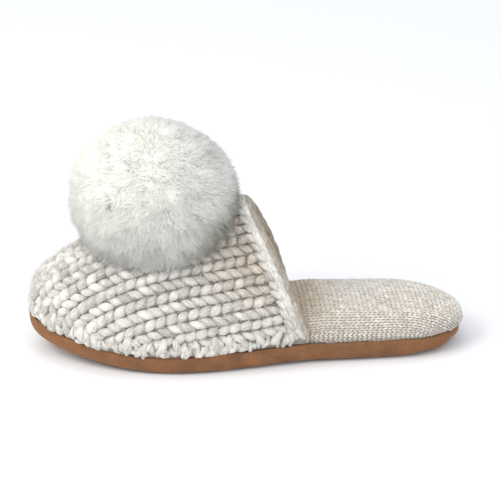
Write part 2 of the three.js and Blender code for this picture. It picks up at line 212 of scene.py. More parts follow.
outer, inner, rim = (column(LAST, name) for name in ("outer", "inner", "rim"))
vamp = {name: column(VAMP, name) for name in list(VAMP)[1:]}
print("rim's height at mid-foot:", round(float(rim(0.5)), 2), "of the suede's rise")

# %% Small helpers for lines and charts
def mix(a, b, s):
    return a + (b - a) * s


def to_one(arrows):
    """The same directions, with length 1."""
    return arrows / np.linalg.norm(arrows, axis=-1, keepdims=True)


def walk(line):
    """Distances along a line of points, from its start."""
    return np.concatenate([[0], np.cumsum(np.linalg.norm(np.diff(line, axis=0), axis=1))])


def mix_rows(grid, i, j, share):
    return grid[i, j] * (1 - share) + grid[i + 1, j] * share


def between(grid, i, j):
    """Reads a chart at places between its points."""
    i0, j0 = i.astype(int), j.astype(int)
    a, b = (i - i0)[..., None], (j - j0)[..., None]
    return mix_rows(grid, i0, j0, a) * (1 - b) + mix_rows(grid, i0, j0 + 1, a) * b


print("a step of 3 and 4 mm is", walk(np.array([[0, 0], [3, 4]]))[-1], "mm long")

# %% The sole's outline

def along(share):
    return (share - HEEL_SEAT) * LENGTH


def swing(share):
    return TOE_SWING * np.maximum(0, 1 - share / TOE_ROUND) ** 2


def half_width(share, side):
    """From the centre line to the edge, -1 for the outer side and 1 for the inner."""
    toe = np.maximum(0, 1 - share / TOE_ROUND)
    heel = np.maximum(0, 1 - (1 - share) / HEEL_ROUND)
    ends = np.sqrt(np.maximum(0, 1 - toe ** 2)) * np.sqrt(np.maximum(0, 1 - heel ** 2))
    return BALL_WIDTH * (outer if side < 0 else inner)(share) * ends


def underside(share):
    arch = np.clip((share - 0.52) / 0.2, 0, 1)
    toe = np.maximum(0, 1 - share / 0.3)
    return TOE_SPRING * toe ** 1.7 + ARCH_LIFT * np.sin(np.pi * arch) ** 2


def on_rim(share):
    return underside(share) + SUEDE_RISE * rim(share) + CLEARANCE


def outline(turn):
    """Points of the outline, at turns from 0 at the toe, by the outer side, to 2 pi."""
    share = (1 - np.cos(turn)) / 2
    y = np.where(
        np.sin(turn) >= 0,
        swing(share) - half_width(share, -1),
        swing(share) + half_width(share, 1),
    )
    return np.stack([along(share), y], -1)


wide = float(half_width(0.3, -1) + half_width(0.3, 1))
print("sole in mm:", LENGTH, "long,", round(wide, 1), "wide")

# %% The upper's surface as a chart
# A place on the knit has two numbers: its station, from 0 at the collar to 1 at the toe, and its
# distance down from the crest in mm, measured round the arch.
STATION, DROP = 0.01, 1.0
stations = np.arange(-6, 101) * STATION
drops = np.arange(0, 121) * DROP


def arch(at, side):
    """One arch of the upper from its crest down, where it is, which way is out and its length."""
    row = {name: float(read(at)) for name, read in vamp.items()}
    foot = row["foot"] - side * row["skew"]
    crest = float(on_rim(0)) if at > 0.9999 else row["height"] * INSTEP_HEIGHT
    angle = np.linspace(np.pi / 2, 0, 97)
    climb, spread = np.sin(angle), np.cos(angle)
    lag = row["bow"] * np.sin(np.pi * climb) - side * row["skew"] * (1 - climb) ** 3
    share = mix(row["foot"], row["crest"], climb) + lag
    arch_y = mix(swing(foot), swing(row["crest"]), climb) + side * half_width(foot, side) * spread
    seam_y = swing(foot * (1 - climb)) + side * half_width(foot * (1 - climb), side)
    arch_z = mix(on_rim(foot), crest, climb)
    line = np.stack([
        along(share),
        mix(arch_y, seam_y, row["seam"]),
        mix(arch_z, on_rim(share), row["seam"] ** 8),
    ], 1)
    walked = walk(line)
    total = walked[-1]
    tangent = np.gradient(line, axis=0)
    tangent = to_one(tangent)
    up = line[0] - line[-1]
    up[1] = 0
    up /= np.linalg.norm(up)
    out = up * (tangent[:, 1] * side)[:, None]
    out = out - np.array([0, side, 0]) * (tangent @ up)[:, None]
    out[0], out[-1] = up, (0, side, 0)
    reach = np.minimum(drops, total)
    place = np.stack([np.interp(reach, walked, line[:, c]) for c in range(3)], 1)
    facing = np.stack([np.interp(reach, walked, out[:, c]) for c in range(3)], 1)
    facing = to_one(facing)
    down = reach / total
    swell = KNIT_PUFF * np.sin(np.pi * np.minimum(1, (1 - down) * 3)) ** 2 * (1 - row["seam"] ** 2)
    overhang = mix(-TOE_SETBACK, KNIT_OVERHANG, np.minimum(1, 2 * down))
    near_seam = np.maximum(down ** 3, row["seam"] ** 2)
    place = place + facing * (swell + overhang * near_seam)[:, None]
    place[:, 2] -= drops - reach
    return place, facing, total


chart, facing, reach_down = {}, {}, {}
for side in (-1, 1):
    rows = [arch(at, side) for at in stations[6:]]
    first, sixth = rows[0][0], rows[6][0]
    before = [first + (first - sixth) * k / 6 for k in range(6, 0, -1)]
    chart[side] = np.array(before + [row[0] for row in rows])
    reach_down[side] = np.array([rows[0][2]] * 6 + [row[2] for row in rows])
    du = np.gradient(chart[side], axis=0)
    dv = np.gradient(chart[side], axis=1)
    normal = np.cross(du, dv)
    outside = np.array([rows[0][1]] * 6 + [row[1] for row in rows])
    normal *= np.sign((normal * outside).sum(-1))[..., None]
    size = np.linalg.norm(normal, axis=-1, keepdims=True)
    facing[side] = normal / np.maximum(size, 1e-9)
print("half the collar's arch in mm:", round(reach_down[-1][0], 1), round(reach_down[1][0], 1))


def on_chart(side, at, drop):
    """Places on the knit and the directions out of it."""
    i = np.clip((np.asarray(at) - stations[0]) / STATION, 0, len(stations) - 1.001)
    j = np.clip(np.asarray(drop) / DROP, 0, len(drops) - 1.001)
    return between(chart[side], i, j), to_one(between(facing[side], i, j))


# %% The same surface as a search tree
grids = []
for side in (-1, 1):
    grid = chart[side]
    rows, cols = grid.shape[:2]
    index = np.arange(rows * cols).reshape(rows, cols)
    quads = np.stack([index[:-1, :-1], index[1:, :-1], index[1:, 1:], index[:-1, 1:]], -1)
    grids.append((grid.reshape(-1, 3), quads.reshape(-1, 4)))
offset = len(grids[0][0])
skin_points = np.concatenate([grids[0][0], grids[1][0]])
skin_faces = np.concatenate([grids[0][1], grids[1][1] + offset])
knit_skin = BVHTree.FromPolygons([Vector(p) for p in skin_points], skin_faces.tolist())
print("knit surface:", len(skin_faces), "faces")

# %% [markdown]
# ## Helpers for pieces made of many small parts
#
# A stitch is modelled once. Its copies are laid along a row by moving each corner of the copy to
# its place on the chart, so that a stitch bends with the surface as real yarn does. An array
# modifier on a curve could do one straight row, but not rows that meet, part and end at a seam.

# %% Meshes from many copies
def deselect():
    if bpy.context.object and bpy.context.object.mode != "OBJECT":
        bpy.ops.object.mode_set(mode="OBJECT")
    bpy.ops.object.select_all(action="DESELECT")


def taken(shape):
    """The corners in mm and the faces of a modelled shape. The shape itself is removed."""
    mesh = shape.data
    corners = np.array([v.co for v in mesh.vertices]) / MM
    faces = [tuple(p.vertices) for p in mesh.polygons]
    bpy.data.objects.remove(shape)
    return corners, faces


def piece_from(name, blocks, faces, material, **extra):
    """One mesh from copies of a shape. blocks is copies x corners x 3, in mm."""
    count, size = blocks.shape[:2]
    mesh = bpy.data.meshes.new(name)
    each = np.array([len(f) for f in faces])
    flat = np.concatenate([np.array(f) for f in faces])
    loops = (flat[None] + (np.arange(count) * size)[:, None]).ravel()
    starts = np.concatenate([[0], np.cumsum(np.tile(each, count))[:-1]])
    mesh.vertices.add(count * size)
    mesh.vertices.foreach_set("co", (blocks.reshape(-1) * MM).astype(np.float32))
    mesh.loops.add(len(loops))
    mesh.loops.foreach_set("vertex_index", loops.astype(np.int32))
    mesh.polygons.add(len(starts))
    mesh.polygons.foreach_set("loop_start", starts.astype(np.int32))
    mesh.polygons.foreach_set("use_smooth", np.ones(len(starts), bool))
    mesh.update(calc_edges=True)
    for key, values in extra.items():
        if key == "yarn_uv":
            layer = mesh.uv_layers.new(name="yarn")
            layer.data.foreach_set("uv", values.reshape(-1, 2)[loops].ravel().astype(np.float32))
        else:
            layer = mesh.attributes.new(key, "FLOAT", "POINT")
            layer.data.foreach_set("value", np.repeat(values, size).astype(np.float32))
    mesh.materials.append(material)
    made = bpy.data.objects.new(name, mesh)
    bpy.context.collection.objects.link(made)
    triangles = int((each - 2).sum()) * count
    print(name, ":", count, "copies,", triangles, "triangles")
    return made


# %% One leg of a stitch
def model_leg(name, sides, profile):
    """A spindle of yarn along X, one unit long: a circle, extruded and scaled ring by ring."""
    deselect()
    start_x, start_r = profile[0]
    bpy.ops.mesh.primitive_circle_add(
        vertices=sides, radius=start_r * MM, location=(start_x * MM, 0, 0),
        rotation=(0, math.pi / 2, 0),
    )
    leg = bpy.context.object
    leg.name = name
    bpy.ops.object.transform_apply(location=True, rotation=True, scale=True)
    bpy.ops.object.mode_set(mode="EDIT")
    bpy.ops.mesh.select_all(action="SELECT")
    for (x0, r0), (x1, r1) in zip(profile, profile[1:]):
        bpy.ops.mesh.extrude_region_move(TRANSFORM_OT_translate={"value": ((x1 - x0) * MM, 0, 0)})
        bpy.ops.transform.resize(
            value=(1, r1 / r0, r1 / r0), center_override=(x1 * MM, 0, 0))
    for pick in (min, max):
        bpy.ops.mesh.select_all(action="DESELECT")
        bpy.ops.object.mode_set(mode="OBJECT")
        end = pick(v.co.x for v in leg.data.vertices)
        for vertex in leg.data.vertices:
            vertex.select = abs(vertex.co.x - end) < 1e-7
        bpy.ops.object.mode_set(mode="EDIT")
        bpy.ops.mesh.merge(type="CENTER")
    bpy.ops.mesh.select_all(action="SELECT")
    bpy.ops.mesh.normals_make_consistent(inside=False)
    bpy.ops.object.mode_set(mode="OBJECT")
    print(name, ":", len(leg.data.polygons), "faces")
    return taken(leg)


SPINDLE = [(-.5, .1), (-.4, .29), (-.26, .42), (-.08, .5), (.1, .49), (.28, .4), (.41, .27),
           (.5, .1)]
leg_corners, leg_faces = model_leg("leg", 7, SPINDLE)

# %% Copies of the leg
def bent(corners, long, wide, thick, tilt, dip):
    """Copies of the leg at their sizes, turned by tilt, with their ends dipped into the knit."""
    p = corners[None] * np.stack([long, wide, thick], 1)[:, None]
    turn = tilt[:, None]
    x = p[..., 0] * np.cos(turn) - p[..., 1] * np.sin(turn)
    y = p[..., 0] * np.sin(turn) + p[..., 1] * np.cos(turn)
    z = p[..., 2] - dip[:, None] * (corners[None, :, 0] / 0.5) ** 2
    return x, y, z


def roped(y, half_row):
    """Bends what would cross into the next row back along its own."""
    return half_row * np.tanh(y / half_row)


def yarn_coordinates(corners, long, wide, seed):
    """UVs in mm along and round each copy, each from its own place in the pattern."""
    u = corners[:, 0][None] * long[:, None] + seed[:, None] * 90
    v = np.arctan2(corners[:, 1], corners[:, 2])[None] * wide[:, None] / 2 + u * 0.35
    return np.stack([u, v], -1)


print("a leg's end 8 mm aside is bent back to", round(float(roped(8, 3.9)), 1), "mm")

# %% [markdown]
# ## Suede and yarn
#
# Cloth and suede have no shine to speak of: what the eye reads is how the light breaks in their
# fibres. A photograph of suede could be wrapped round the sole, but it would need seams. Noise in
# the space of the object has none, and it keeps its real size on every side. The yarn's pattern
# has to follow each strand, so it reads a UV map that is measured in mm along and round the strand.

# %% Suede material
# Suede is the flesh side of a hide, sanded to a short nap. The eye gets no gloss, mottling of about
# 14 mm where the nap lies in different ways, and flecks. Real nap is 0.3 mm, too fine to show here,
# so the flecks are 1.3 mm.
suede, tree, shader = new_material("brown_sueded_cowhide", 0.92)
place = node(tree, "ShaderNodeTexCoord")
mottle = node(tree, "ShaderNodeTexNoise", {
    "Vector": place.outputs["Object"], "Scale": grain(14.3), "Detail": 5.0, "Roughness": 0.62})
shade = node(tree, "ShaderNodeValToRGB", {"Fac": mottle.outputs["Fac"]},
             stops=((0.3, "#6B4A34"), (0.72, "#8A6040")))
nap = node(tree, "ShaderNodeTexNoise", {
    "Vector": place.outputs["Object"], "Scale": grain(4 / 3), "Detail": 3.0, "Roughness": 0.75})
fleck = node(tree, "ShaderNodeMix",
             {"Factor": 0.55, 6: shade.outputs["Color"], 7: nap.outputs["Color"]},
             data_type="RGBA", blend_type="SOFT_LIGHT")
raised = node(tree, "ShaderNodeBump",
              {"Height": nap.outputs["Fac"], "Strength": 0.35, "Distance": 0.0004})
connect(tree, shader, {
    "Base Color": fleck.outputs[2], "Normal": raised.outputs["Normal"], "Specular IOR Level": 0.2,
    "Sheen Weight": 0.35, "Sheen Roughness": 0.5, "Sheen Tint": linear("#C39A78")})
print("suede: flecks of", round(1 / (grain(4 / 3) * MM), 2), "mm")


# %% Yarn materials
# Brushed alpaca gives the eye a matt strand with a soft halo and streaks along it. The streaks are
# bundles of fibres 0.9 mm wide, since single fibres of 0.03 mm would not show. The fine wool of the
# insole is heather: strands differ in shade, which each stitch carries in its tint.
def yarn_material(name, light, dark, warm, fibre_mm, bump_mm):
    """Yarn from its colours and the width and depth in mm of the fibres that run along it."""
    material, tree, shader = new_material(name, 0.95)
    uv = node(tree, "ShaderNodeUVMap", uv_map="yarn")
    stretched = node(tree, "ShaderNodeMapping",
                     {"Vector": uv.outputs["UV"], "Scale": (0.22 / fibre_mm, 1 / fibre_mm, 1.0)})
    fibres = node(tree, "ShaderNodeTexNoise",
                  {"Vector": stretched.outputs["Vector"], "Scale": 1.0, "Detail": 2.5,
                   "Roughness": 0.6, "Distortion": 0.3})
    tint = node(tree, "ShaderNodeAttribute", attribute_name="tint")
    warmth = node(tree, "ShaderNodeAttribute", attribute_name="warmth")
    mixed = node(tree, "ShaderNodeMath", {0: fibres.outputs["Fac"], 1: tint.outputs["Fac"]},
                 operation="ADD")
    shade = node(tree, "ShaderNodeValToRGB", {"Fac": mixed.outputs["Value"]},
                 stops=((0.28, dark), (0.68, light)))
    # On the footbed the warm colour multiplied in also carries painted shade under the collar's
    # edge.
    warmed = node(tree, "ShaderNodeMix",
                  {"Factor": warmth.outputs["Fac"], 6: shade.outputs["Color"], 7: linear(warm)},
                  data_type="RGBA", blend_type="MULTIPLY")
    raised = node(tree, "ShaderNodeBump",
                  {"Height": fibres.outputs["Fac"], "Strength": 0.7, "Distance": bump_mm * MM})
    connect(tree, shader, {"Base Color": warmed.outputs[2], "Normal": raised.outputs["Normal"],
                           "Specular IOR Level": 0.15, "Sheen Weight": 0.2})
    return material


alpaca = yarn_material("brushed_alpaca_roving", "#E0DDD7", "#A4A19A", "#E6D7C2", 0.9, 0.9)
fine_wool = yarn_material("heather_fine_wool", "#E6E3DC", "#A39D94", "#E4D5C2", 0.3, 0.12)
print("yarns:", alpaca.name, "and", fine_wool.name)

# %% [markdown]
# ## Sole
#
# The sole is one hide of suede, turned up round the cushion and gathered into small pleats at the
# heel. It could be drawn again from its outline. A copy of the CAD solid, merged and smoothed with
# Subdivision Surface, keeps its sizes, and the pleats are pressed in afterwards.

# %% A smooth copy of a CAD solid
def smooth_copy(node_name, name, levels):
    deselect()
    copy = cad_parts[node_name].copy()
    copy.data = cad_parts[node_name].data.copy()
    copy.parent = None
    copy.name = name
    bpy.context.collection.objects.link(copy)
    copy.hide_render = False
    copy.select_set(True)
    bpy.context.view_layer.objects.active = copy
    bpy.ops.object.mode_set(mode="EDIT")
    bpy.ops.mesh.select_all(action="SELECT")
    bpy.ops.mesh.remove_doubles(threshold=2e-5)
    bpy.ops.mesh.tris_convert_to_quads(face_threshold=0.8, shape_threshold=1.2)
    bpy.ops.mesh.normals_make_consistent(inside=False)
    bpy.ops.object.mode_set(mode="OBJECT")
    smooth = copy.modifiers.new("smooth", "SUBSURF")
    smooth.levels = levels
    bpy.ops.object.modifier_apply(modifier=smooth.name)
    bpy.ops.object.shade_smooth()
    copy.data.materials.clear()
    print(name, ":", triangles(copy), "triangles")
    return copy


def corners_of(piece):
    """A piece's corners in mm."""
    co = np.empty(len(piece.data.vertices) * 3)
    piece.data.vertices.foreach_get("co", co)
    return co.reshape(-1, 3) / MM


def put_corners(piece, corners):
    piece.data.vertices.foreach_set("co", (corners * MM).ravel())
    piece.data.update()


def triangles(piece):
    return sum(len(p.vertices) - 2 for p in piece.data.polygons)


# %% Suede with its gathers
# Pleats are pressed into the low wall round the heel, the bottom edge is gathered up there, and the
# rim waves a little, as a cut edge of hide does. The first three numbers are their depths in mm.
PLEAT, HEEL_LIFT, RIM_WAVE = 0.7, 2.4, 0.28
sole = smooth_copy("sole", "suede_sole", 3)
co = corners_of(sole)
share = np.clip(co[:, 0] / LENGTH + HEEL_SEAT, 0, 1)
centre_y = swing(share)
angle = np.arctan2(co[:, 1] - centre_y, co[:, 0] - along(0.86))
heel = np.clip((share - 0.875) / 0.08, 0, 1) * (np.abs(angle) < 1.5)
low = np.clip((co[:, 2] - 0.2) / 2.0, 0, 1) * np.clip((9.5 - co[:, 2]) / 5, 0, 1)
pleat = PLEAT * heel * low * np.sin(angle * 13 + 1.5 * np.sin(angle * 5 + 1))
co[:, 0] += pleat * np.cos(angle)
co[:, 1] += pleat * np.sin(angle)
gather = np.clip((co[:, 0] - 24) / 13, 0, 1) ** 1.3 * (1 - np.clip(co[:, 2] / 9, 0, 1))
co[:, 2] += HEEL_LIFT * gather
edge = np.clip((co[:, 2] - underside(share) - 9) / 3, 0, 1)
co[:, 2] += edge * RIM_WAVE * np.sin(co[:, 0] * 0.21 + np.sin(co[:, 1] * 0.17) * 2)
put_corners(sole, co)
sole.data.materials.append(suede)
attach(sole, "root")
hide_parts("sole")

# %% [markdown]
# ## Footbed
#
# A foam cushion covered in fine knit. The cushion is a padded copy of its CAD solid. A bump map
# could stand for the knit, but the photograph shows single stitches with dark gaps along the seam,
# so the stitches are real: small legs in pairs, laid in rows along the foot.

# %% Cushion
# Between the stitches the eye sees their backs in shade: a wool ground, matt, with 2 mm lumps,
# painted darker than the yarn as painted shade in the gaps.
cushion = smooth_copy("footbed", "footbed_cushion", 2)
cushion_gap_shade, tree, shader = new_material("wool_ground_painted_gap_shade", 0.95)
place = node(tree, "ShaderNodeTexCoord")
ground = node(tree, "ShaderNodeTexNoise",
              {"Vector": place.outputs["Object"], "Scale": grain(2), "Detail": 3.0})
shade = node(tree, "ShaderNodeValToRGB", {"Fac": ground.outputs["Fac"]},
             stops=((0, "#756D63"), (1, "#A39C91")))
rough = node(tree, "ShaderNodeBump",
             {"Height": ground.outputs["Fac"], "Strength": 0.5, "Distance": 0.0003})
connect(tree, shader, {"Base Color": shade.outputs["Color"], "Normal": rough.outputs["Normal"]})
cushion.data.materials.append(cushion_gap_shade)
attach(cushion, "root")
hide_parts("footbed")

# %% Chart of the cushion's top
# Rays from a line inside the cushion find its sections. Each section is measured from its middle.
BED_STEP, BELOW_RIM = 0.5, 3.2
cushion_tree = BVHTree.FromPolygons(
    [v.co for v in cushion.data.vertices], [tuple(p.vertices) for p in cushion.data.polygons])
bed_x = np.concatenate([np.arange(-78, 24, 1.5), 24 + 14.9 * np.sin(np.linspace(0, 1.47, 34))])
ray_angles = np.radians(np.arange(-35, 216, 1.5))
sections = []
for x in bed_x:
    share = float(np.clip(x / LENGTH + HEEL_SEAT, 0, 0.9995))
    y = float(swing(share) + (half_width(share, 1) - half_width(share, -1)) / 2)
    z = float(underside(share) + SUEDE_RISE * rim(share) + 2.2)
    line = []
    for angle in ray_angles:
        way = Vector((0, -math.cos(angle), math.sin(angle)))
        hit = cushion_tree.ray_cast(Vector((x, y, z)) * MM, way)[0]
        if hit and hit.z / MM > z - BELOW_RIM:
            line.append(np.array(hit) / MM)
    sections.append(np.array(line) if len(line) > 8 else None)
good = [i for i, s in enumerate(sections) if s is not None]
bed_x, sections = bed_x[good], [sections[i] for i in good]
BED_D = np.arange(-62, 62 + BED_STEP, BED_STEP)
bed_place = np.full((len(sections), len(BED_D), 3), np.nan)
for i, line in enumerate(sections):
    walked = walk(line)
    middle = walked[np.argmin(np.abs(line[:, 1] - line[:, 1].mean()) - line[:, 2] * 0.01)]
    d = BED_D + middle
    inside = (d >= 0) & (d <= walked[-1])
    for c in range(3):
        bed_place[i, inside, c] = np.interp(d[inside], walked, line[:, c])
    known = np.nonzero(~np.isnan(bed_place[i, :, 0]))[0]
    for j, step in ((known[0], -1), (known[-1], 1)):
        for k in range(1, 22 if bed_x[i] > 33 else 5):  # the heel's end stands nearly upright
            bed_place[i, j + step * k] = bed_place[i, j] - np.array([0, 0, BED_STEP * k])
half = float(np.nanmax(bed_place[0, :, 1]))
print("cushion sections:", len(sections), "half width in mm:", round(half, 1))

# %% Fine stitches
# Sizes in mm. The rows are narrower at the sides, where the cover is drawn down over the edge.
rng = np.random.default_rng(7)
WALE, COURSE = 2.75, 2.8
FINE_LONG, FINE_DIP, FINE_DEPTH, TOP_TILT, SIDE_TILT = 4.4, 0.32, 0.3, 19, 32
SIDE, LOWEST = 38, 41  # distances from the middle where the side and its lowest rows begin
bed_corners, bed_faces = model_leg(
    "fine_leg", 5, [(-.5, .1), (-.3, .4), (0, .5), (.3, .4), (.5, .1)])


def bed_at(x, d):
    """Places on the cushion's top for distances along and across it."""
    i = np.clip(np.interp(x, bed_x, np.arange(len(bed_x))), 0, len(bed_x) - 1.001)
    j = np.clip((d - BED_D[0]) / BED_STEP, 0, len(BED_D) - 1.001)
    return between(bed_place, i, j)


rows_d = [0.0]
while rows_d[-1] < 58:
    wide = WALE * (1.0 + 0.5 * np.clip((36 - rows_d[-1]) / 12, 0, 1))
    rows_d.append(rows_d[-1] + wide / 2)
rows_d = np.array(rows_d)
blocks, tone_and_highlight, warmths, uvs = [], [], [], []
for side in (-1, 1):
    for k in range(len(rows_d) - 1):
        d = side * (rows_d[k] + rows_d[k + 1]) / 2
        gap = rows_d[k + 1] - rows_d[k]
        fine_x = np.linspace(bed_x[0], bed_x[-1], 900)
        line = bed_at(fine_x, np.full(900, d))
        ok = ~np.isnan(line).any(1) & ~np.isnan(bed_at(fine_x, np.full(900, d + 0.5 * side))).any(1)
        if ok.sum() < 20:
            continue
        fine_x, line = fine_x[ok], line[ok]
        walked = walk(line)
        middles = np.arange(COURSE / 2, walked[-1] + 4.5, COURSE)
        n = len(middles)
        size = 1 + 0.07 * rng.standard_normal(n)
        length, width = FINE_LONG * size, gap * (0.84 if abs(d) > LOWEST else 1.02) * size
        tilt = np.radians((SIDE_TILT if abs(d) > SIDE else TOP_TILT) + 3 * rng.standard_normal(n))
        tilt *= 1 if (k % 2) == (side > 0) else -1
        lx, ly, lz = bent(bed_corners, length, width, width * 1.035, tilt, np.full(n, FINE_DIP))
        ly, lz = roped(ly, gap * 0.62), lz - FINE_DEPTH
        s = middles[:, None] + lx
        x = np.interp(s, walked, fine_x)
        x = np.where(s > walked[-1], fine_x[-1], x)
        place = bed_at(x, d + ly)
        place[..., 2] -= np.maximum(s - walked[-1], 0)  # past the heel's edge a row runs down
        ahead = bed_at(np.minimum(x + 0.6, bed_x[-1]), np.full_like(x, d))
        behind = bed_at(np.maximum(x - 0.6, bed_x[0]), np.full_like(x, d))
        right, left = bed_at(x, np.full_like(x, d + 0.5)), bed_at(x, np.full_like(x, d - 0.5))
        out = np.cross(ahead - behind, right - left)
        out /= np.maximum(np.linalg.norm(out, axis=-1, keepdims=True), 1e-9)
        out *= np.where(out[..., 2:] + 0.001 < 0, -1, 1) if abs(d) < 30 else 1
        block = place + out * lz[..., None]
        rim_z = on_rim(np.clip(block[..., 0] / LENGTH + HEEL_SEAT, 0, 1)) - 0.1
        at_heel = block[..., 0] > 31
        block[..., 2] = np.where(at_heel, np.maximum(block[..., 2], rim_z), block[..., 2])
        keep = ~np.isnan(block).any((1, 2)) & (np.ptp(block[..., 2], axis=1) > 0.3)
        blocks.append(block[keep])
        # The stitches of the side rows are painted 0.12 lighter: a painted highlight.
        tone_and_highlight.append(0.055 * rng.standard_normal(keep.sum()) + 0.12 * (abs(d) > SIDE))
        # The cover's yarn is a little warm everywhere. At the front of the opening, under the
        # collar's edge, it is painted darker and browner as painted shade.
        near = np.exp(-((block[keep, 0, 0] + 62) / 16) ** 2) * np.clip(1.2 - abs(d) / 60, 0, 1)
        warmths.append(np.clip(0.2 + 0.9 * near, 0, 1))
        u = bed_corners[:, 0][None] * length[keep][:, None] + rng.random(keep.sum())[:, None] * 50
        v = np.arctan2(bed_corners[:, 1], bed_corners[:, 2])[None] * 0.6 + u * 0
        uvs.append(np.stack([u, v], -1))
knit_cover = piece_from(
    "footbed_knit", np.concatenate(blocks), bed_faces, fine_wool,
    tint=np.concatenate(tone_and_highlight), warmth=np.concatenate(warmths), yarn_uv=np.concatenate(uvs))
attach(knit_cover, "root")

# %% [markdown]
# ## Upper
#
# The band is hand-knitted in thick, loosely spun alpaca, from the toe to the open edge. A picture
# of knit on a smooth band would be quicker, but its outline would be smooth too, and here each
# stitch stands out. A thin shell closes the gaps between them, as the back of the real knit does.

# %% Shell behind the stitches
# In the gaps the eye meets the purl side of the knit: matt, with bumps about 4 mm apart. It is
# painted dark as painted shade in the gaps between stitches, and darker still between its bumps.
SUNK, SHELL_REACH = 2.3, 2.6
def out_of(point):
    """Roughly the way out of the upper, from the line that runs under its crest."""
    return Vector((min(0, point[0] + 165), point[1], point[2] - 18))


shell = smooth_copy("upper", "upper_back_of_knit", 1)
co = corners_of(shell)
for i, point in enumerate(co):
    hit, normal, _, gap = knit_skin.find_nearest(Vector(point))
    if gap < SHELL_REACH and point[2] > 20:
        inwards = -SUNK if Vector(normal).dot(out_of(hit)) > 0 else SUNK
        co[i] = np.array(hit) + np.array(normal) * inwards
put_corners(shell, co)
shell_gap_shade, tree, shader = new_material("back_of_alpaca_knit_painted_shade", 0.95)
place = node(tree, "ShaderNodeTexCoord")
bumps = node(tree, "ShaderNodeTexVoronoi",
             {"Vector": place.outputs["Object"], "Scale": grain(4.348)}, feature="SMOOTH_F1")
shade = node(tree, "ShaderNodeValToRGB", {"Fac": bumps.outputs["Distance"]},
             stops=((0, "#938B81"), (1, "#625C55")))
rough = node(tree, "ShaderNodeBump",
             {"Height": bumps.outputs["Distance"], "Strength": 1.0, "Distance": 0.002}, invert=True)
connect(tree, shader, {"Base Color": shade.outputs["Color"], "Normal": rough.outputs["Normal"]})
shell.data.materials.append(shell_gap_shade)
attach(shell, "root")
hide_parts("upper")

# %% How the legs lie on the knit
# Sizes in mm and degrees. Two rows of legs, leaning to each other, make one wale of the knit.
ROW, STITCH = 6.3, 6.4
LEG_LONG, LEG_WIDE, LEG_THICK, LEG_TILT = 11.6, 5.8, 5.5, 43
LEG_DIP, LEG_DEPTH = 2.2, 1.7
HALF_ROW = 3.9  # the leg's ends turn to run with the row within this


def row_line(side, drop):
    """Stations along a row, and the distance walked from the collar to each."""
    at = np.linspace(0, 1, 600)
    limit = np.interp(at, stations, reach_down[side])
    keep = np.cumprod(drop <= limit - 1.0).astype(bool)
    line, _ = on_chart(side, at[keep], np.full(keep.sum(), drop))
    return at[keep], walk(line)


def yarn_piece(name, laid):
    """One piece from all the legs laid."""
    return piece_from(
        name, np.concatenate(laid["blocks"]), leg_faces, alpaca, tint=np.concatenate(laid["tint"]),
        warmth=np.concatenate(laid["warmth"]), yarn_uv=np.concatenate(laid["uv"]))


def nothing_laid():
    return {"blocks": [], "tint": [], "warmth": [], "uv": []}


print("wales of the knit:", 2 * ROW, "mm wide")

# %% Rows of stitches
# Towards the toe the rows are looser: the legs grow, and their lean varies more.
rng = np.random.default_rng(11)
knit = nothing_laid()
for side in (-1, 1):
    for k in range(18):
        drop = ROW * (k + 0.5)
        if drop > reach_down[side][6] - 1.0:
            break
        at, walked = row_line(side, drop)
        middles = np.arange(STITCH * 0.75, walked[-1] + 1.5, STITCH)
        n = len(middles)
        middles = middles + rng.normal(0, 0.25, n)
        station = np.interp(middles, walked, at)
        loose = np.clip((station - 0.35) / 0.5, 0, 1)
        size = 1 + (0.05 + 0.06 * loose) * rng.standard_normal(n) + 0.16 * loose
        tilt = np.radians(LEG_TILT + (4 + 8 * loose) * rng.standard_normal(n))
        tilt *= 1 if k % 2 == 0 else -1
        x, y, z = bent(leg_corners, LEG_LONG * size, LEG_WIDE * size, LEG_THICK * size, tilt,
                       np.full(n, LEG_DIP))
        y = roped(y, HALF_ROW)
        z = z - LEG_DEPTH - 0.15 * loose[:, None] + rng.normal(0, 0.2, n)[:, None]
        s = middles[:, None] + x
        beyond = np.maximum(s - walked[-1], 0)
        station_of = np.interp(s, walked, at) + beyond / 260 - np.maximum(-s, 0) / 200
        lowest = np.interp(station_of, stations, reach_down[side]) + 0.4
        down = np.minimum(drop + y + rng.normal(0, 0.2, n)[:, None], lowest)
        place, out = on_chart(side, np.minimum(station_of, 1), down)
        knit["blocks"].append(place + out * z[..., None])
        knit["tint"].append(0.09 * rng.standard_normal(n))
        middle = knit["blocks"][-1].mean(1)
        to_collar = np.clip((middle[:, 0] + 130) / 60, 0, 1)
        knit["warmth"].append(to_collar * np.clip((middle[:, 2] - 25) / 35, 0.1, 1))
        knit["uv"].append(
            yarn_coordinates(leg_corners, LEG_LONG * size, LEG_WIDE * size, rng.random(n)))
stitches = yarn_piece("upper_stitches", knit)
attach(stitches, "root")

# %% [markdown]
# ### Bound edge
#
# The open edge is bound off: each loop is pulled over the next, which gives a chain of long slanted
# loops round the edge. The wall's thickness shows behind it as strands that run with the edge. One
# row of legs bent round a curve would be quicker, but the slant of each loop would be lost.

# %% Chain round the open edge
# Each line of the table is one strand: the step between its loops, how far it stands past the edge,
# its height over the knit, the length, width and slant of a loop, and how beige it is.
rng = np.random.default_rng(17)
bound = nothing_laid()


def along_edge(side, middles, x, y, z, warmth, tint):
    """Lays copies along the edge: x down the arch, y past the edge, z out of the knit."""
    lowest = reach_down[side][0] - 0.6
    place, out = on_chart(side, -y / 200, np.clip(middles[:, None] + x, 0, lowest))
    over = np.maximum(-(middles[:, None] + x), 0)
    place[..., 1] -= side * over
    bound["blocks"].append(place + out * z[..., None])
    bound["tint"].append(tint)
    bound["warmth"].append(np.full(len(middles), warmth))


